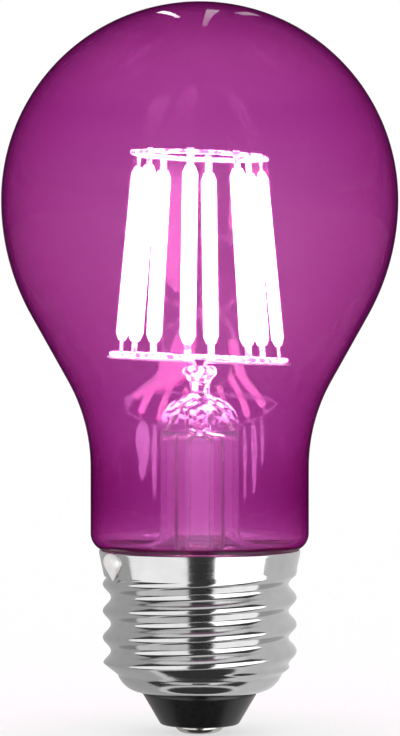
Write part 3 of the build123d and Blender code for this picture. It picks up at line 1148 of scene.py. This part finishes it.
@dataclass(frozen=True)
class FloorPaper(Finish):
    """Matt white paper under the lamp, with a fibre grain too faint to darken it."""

    label: str = "white_floor_paper"
    light: str = WHITE
    dark: str = "fdfdfd"
    fibre: float = 1.5
    # Share of plain white in what the camera sees
    brightness: float = 0.6

    def paint(self, tree: bpy.types.NodeTree, output: bpy.types.Node) -> None:
        """Plain white with a slight change of tone.

        Args:
            tree: Node tree of the material.
            output: Its output node.
        """
        place = add_node(tree, "ShaderNodeTexCoord").outputs["Object"]
        fibre = add_node(
            tree, "ShaderNodeTexNoise", {"Vector": place}, {"Scale": per_size(self.fibre)}
        ).outputs["Fac"]
        tone = add_node(
            tree,
            "ShaderNodeMix",
            {MIX_SHARE: fibre},
            {MIX_FROM: linear(self.dark), MIX_TO: linear(self.light)},
            data_type="RGBA",
        ).outputs[MIX_RESULT]
        paper = add_node(tree, "ShaderNodeBsdfDiffuse", {"Color": tone}).outputs[0]
        white = add_node(tree, "ShaderNodeEmission").outputs[0]
        seen = add_node(tree, "ShaderNodeLightPath").outputs["Is Camera Ray"]
        share = add_node(
            tree, "ShaderNodeMath", {0: seen}, {1: self.brightness}, operation="MULTIPLY"
        ).outputs[0]
        mixed = add_node(tree, "ShaderNodeMixShader", {0: share, 1: paper, 2: white}).outputs[0]
        tree.links.new(mixed, output.inputs["Surface"])


@dataclass(frozen=True)
class Scrim(Finish):
    """Lit cloth of a soft light, seen only in reflections."""

    label: str
    strength: float

    def paint(self, tree: bpy.types.NodeTree, output: bpy.types.Node) -> None:
        """Even white light."""
        cloth = add_node(tree, "ShaderNodeEmission", None, {"Strength": self.strength})
        tree.links.new(cloth.outputs[0], output.inputs["Surface"])


@dataclass(frozen=True)
class Slip:
    """One slim lamp inside the neck, which the glass mirrors as a bright drip beside the stem.

    It stands on the right (side 1) or the left (side -1), from the near to the far depth behind the axis
    and down to its tip, in millimetres.
    """

    side: int
    near: float
    far: float
    tip: float


@dataclass
class Studio:
    """White surroundings, soft lights and the camera."""

    camera_distance: float = 440.0
    camera_height: float = 54.0
    clip_start: float = 1.0
    sensor: float = 36.0
    # Measures of the picture, in pixels
    focal_pixels: float = 3231.0
    image_height: int = 736
    horizon_drop: float = 32.2
    axis_offset: float = 0.3
    floor_size: float = 3000.0
    # How bright the surroundings are in mirror images, where 1 is white
    dark: float = 0.05
    scrim_distance: float = 350.0
    strip_distance: float = 330.0
    scrim_centre: float = 20.0
    scrim_rows: int = 12
    scrim_columns: int = 36
    slip_radius: float = 13.0
    slip_strength: float = 120.0
    slip_top: float = 52.0
    # Place on the far side of the neck that the slim lamps face
    mirror_side: float = 7.0
    mirror_depth: float = 12.3
    slips: tuple[Slip, ...] = (
        Slip(side=1, near=1.2, far=6.6, tip=33.0),
        Slip(side=1, near=-2.8, far=-0.6, tip=29.5),
        Slip(side=-1, near=-2.4, far=-1.0, tip=29.0),
        Slip(side=-1, near=1.4, far=3.6, tip=30.5),
        Slip(side=-1, near=5.6, far=6.8, tip=35.0),
    )

    def build(self, glass: bpy.types.Object, cap: list[bpy.types.Object]) -> None:
        """Sets up the surroundings.

        Args:
            glass: The envelope.
            cap: The pieces of the cap.
        """
        self.build_world()
        self.build_floor()
        self.build_camera()
        self.build_scrims(glass, cap)

    def build_world(self) -> None:
        """White all round, and dim where a shiny surface mirrors it, as in a darkened studio."""
        world = bpy.data.worlds.new("studio")
        world.use_nodes = True
        tree = world.node_tree
        tree.nodes.clear()
        path = add_node(tree, "ShaderNodeLightPath").outputs
        mirror = add_node(
            tree,
            "ShaderNodeMath",
            {0: path["Is Reflection Ray"], 1: path["Is Glossy Ray"]},
            operation="MULTIPLY",
        ).outputs[0]
        strength = add_node(
            tree, "ShaderNodeMapRange", {"Value": mirror}, {"To Min": 1.0, "To Max": self.dark}
        ).outputs["Result"]
        sky = add_node(tree, "ShaderNodeBackground", {"Strength": strength}, {"Color": linear(WHITE)})
        output = add_node(tree, "ShaderNodeOutputWorld")
        tree.links.new(sky.outputs[0], output.inputs["Surface"])
        bpy.context.scene.world = world

    def build_floor(self) -> None:
        """Lays the floor paper level with the foot of the contact."""
        mesh = bmesh.new()
        bmesh.ops.create_grid(mesh, x_segments=1, y_segments=1, size=self.floor_size / 2 * MM)
        floor = make_piece("floor_paper", mesh, FloorPaper(), smooth=False)
        floor.visible_glossy = False

    def build_camera(self) -> None:
        """Puts a level camera in front, shifted so that the lamp fills the picture."""
        data = bpy.data.cameras.new("camera")
        data.sensor_width = self.sensor
        data.lens = self.focal_pixels / self.image_height * self.sensor
        data.shift_y = -self.horizon_drop / self.image_height
        data.shift_x = self.axis_offset / self.image_height
        data.clip_start = self.clip_start * MM
        camera = bpy.data.objects.new("camera", data)
        camera.location = Vector((0, -self.camera_distance, self.camera_height)) * MM
        camera.rotation_euler.x = math.radians(90)
        bpy.context.scene.collection.objects.link(camera)
        bpy.context.scene.camera = camera

    def build_scrims(self, glass: bpy.types.Object, cap: list[bpy.types.Object]) -> None:
        """Hangs scrims round the lamp, which only its own mirror images show.

        Args:
            glass: The envelope, which mirrors the small lights behind it and the slim lamps in its neck.
            cap: The pieces of the cap, which mirror the large ones.
        """
        by_cap = self.receivers("lit_on_cap", cap)
        by_shell = self.receivers("lit_on_shell", cap[:1])
        by_glass = self.receivers("lit_on_glass", [glass])
        wide, slim = self.scrim_distance, self.strip_distance
        self.stand("left_wall", facing=-20, across=(-72, 6), upright=(-449, 230), strength=1.35, lit=by_cap)
        self.stand("right_wall", facing=12, across=(6, 72), upright=(-449, 230), strength=2.4, lit=by_cap)
        self.hang("back_right_scrim", wide, across=(84, 176), upright=(-60, 60), strength=0.74, lit=by_cap)
        self.hang("back_left_scrim", wide, across=(176, 268), upright=(-60, 60), strength=0.5, lit=by_cap)
        self.hang("ceiling_scrim", wide, across=(0, 360), upright=(52, 84), strength=0.9, lit=by_shell)
        self.hang("floor_scrim", wide, across=(0, 360), upright=(-66, -58), strength=0.85, lit=by_shell)
        self.hang("left_strip", slim, across=(188.3, 190.3), upright=(46, 60), strength=6.0, lit=by_glass)
        self.hang("middle_strip", slim, across=(174.5, 178), upright=(50, 71), strength=1.6, lit=by_glass)
        self.hang("right_strip", slim, across=(167.5, 170.5), upright=(42, 50), strength=1.0, lit=by_glass)
        self.build_slips(by_glass)

    def build_slips(self, lit: bpy.types.Collection) -> None:
        """Stands slim lamps inside the neck, for the mirror images of the strips that run down it.

        Args:
            lit: The pieces that mirror them.
        """
        upright = Vector((0, 0, 1))
        for number, slip in enumerate(self.slips, 1):
            lamp = bpy.data.lights.new(f"neck_slip_{number}", "AREA")
            lamp.shape = "ELLIPSE"
            lamp.size = (slip.far - slip.near) * MM
            lamp.size_y = (self.slip_top - slip.tip) * MM
            # A lamp that is evenly bright gives off pi times its brightness from each unit of its area
            lamp.energy = self.slip_strength * math.pi * math.pi / 4 * lamp.size * lamp.size_y
            depth = (slip.near + slip.far) / 2
            across = slip.side * math.sqrt(self.slip_radius**2 - depth**2)
            aim = Vector((-slip.side * self.mirror_side - across, self.mirror_depth - depth, 0)).normalized()
            turn = Matrix((upright.cross(-aim), upright, -aim)).transposed().to_4x4()
            place = Vector((across, depth, (self.slip_top + slip.tip) / 2)) * MM
            holder = bpy.data.objects.new(lamp.name, lamp)
            holder.matrix_world = Matrix.Translation(place) @ turn
            self.mirror_only(holder, lit)
            bpy.context.scene.collection.objects.link(holder)

    def receivers(self, name: str, pieces: list[bpy.types.Object]) -> bpy.types.Collection:
        """Lists the pieces that a light shines on.

        Args:
            name: Name of the list.
            pieces: The pieces.

        Returns:
            The collection that holds them.
        """
        lit = bpy.data.collections.new(name)
        for piece in pieces:
            lit.objects.link(piece)
        return lit

    def stand(
        self,
        name: str,
        facing: float,
        across: tuple[float, float],
        upright: tuple[float, float],
        strength: float,
        lit: bpy.types.Collection,
    ) -> None:
        """Stands a flat scrim beside the camera.

        Args:
            name: Name of the scrim.
            facing: Where its plane is nearest to the lamp, in degrees to the right of the camera.
            across: Where it starts and ends, in degrees to the right of that.
            upright: Height of its lower and upper edge in millimetres.
            strength: How bright it is, where 1 is white.
            lit: The pieces that it shines on.
        """
        left, right = (self.scrim_distance * math.tan(math.radians(angle)) for angle in across)
        low, high = upright
        mesh = bmesh.new()
        # A square of one metre, which is scaled to the scrim's size
        bmesh.ops.create_grid(mesh, x_segments=1, y_segments=1, size=0.5)
        bmesh.ops.scale(mesh, verts=mesh.verts[:], vec=((right - left) * MM, (high - low) * MM, 1))
        bmesh.ops.rotate(mesh, verts=mesh.verts[:], matrix=Matrix.Rotation(math.radians(90), 3, "X"))
        middle = Vector(((left + right) / 2, -self.scrim_distance, (low + high) / 2))
        bmesh.ops.translate(mesh, verts=mesh.verts[:], vec=middle * MM)
        bmesh.ops.rotate(mesh, verts=mesh.verts[:], matrix=Matrix.Rotation(math.radians(facing), 3, "Z"))
        self.light(make_piece(name, mesh, Scrim(name + "_cloth", strength)), lit)

    def hang(
        self,
        name: str,
        distance: float,
        across: tuple[float, float],
        upright: tuple[float, float],
        strength: float,
        lit: bpy.types.Collection,
    ) -> None:
        """Hangs one scrim, a patch of a globe round the lamp.

        Args:
            name: Name of the scrim.
            distance: Radius of the globe in millimetres.
            across: Where it starts and ends, in degrees to the right of the camera.
            upright: Elevation of its lower and upper edge in degrees.
            strength: How bright it is, where 1 is white.
            lit: The pieces that it shines on.
        """
        low, high = (math.radians(angle) for angle in upright)
        begin = math.radians(across[0] - 90)
        heading = Vector((math.cos(begin), math.sin(begin), 0))
        mesh = bmesh.new()
        edge = heading * math.cos(low) + Vector((0, 0, math.sin(low)))
        foot = mesh.verts.new(edge * distance * MM)
        bmesh.ops.spin(
            mesh,
            geom=[foot],
            cent=(0, 0, 0),
            axis=heading.cross((0, 0, 1)),
            angle=high - low,
            steps=self.scrim_rows,
        )
        bmesh.ops.spin(
            mesh,
            geom=mesh.verts[:] + mesh.edges[:],
            cent=(0, 0, 0),
            axis=(0, 0, 1),
            angle=math.radians(across[1] - across[0]),
            steps=self.scrim_columns,
        )
        bmesh.ops.translate(mesh, verts=mesh.verts[:], vec=(0, 0, self.scrim_centre * MM))
        self.light(make_piece(name, mesh, Scrim(name + "_cloth", strength)), lit)

    def light(self, scrim: bpy.types.Object, lit: bpy.types.Collection) -> None:
        """Turns a scrim into a light that casts no shadow.

        Args:
            scrim: The lit cloth.
            lit: The pieces that it shines on.
        """
        self.mirror_only(scrim, lit)
        scrim.visible_shadow = False

    def mirror_only(self, light: bpy.types.Object, lit: bpy.types.Collection) -> None:
        """Shows a light to mirror images alone, and only on the pieces listed.

        Args:
            light: The lit cloth or lamp.
            lit: The pieces that it shines on.
        """
        light.visible_camera = False
        light.visible_diffuse = False
        light.visible_transmission = False
        light.light_linking.receiver_collection = lit


def main() -> None:
    """Loads the frame, dresses the lamp and sets up the studio."""
    logging.basicConfig(level=logging.INFO)
    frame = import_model()
    bpy.context.scene.view_settings.view_transform = "Standard"
    glass = Envelope().build()
    Stem().build()
    Cage().dress(frame)
    Driver().dress(frame)
    cap = ScrewCap().build()
    cap.append(frame["nodes"]["side_solder"])
    Studio().build(glass, cap)


if __name__ == "__main__":
    main()
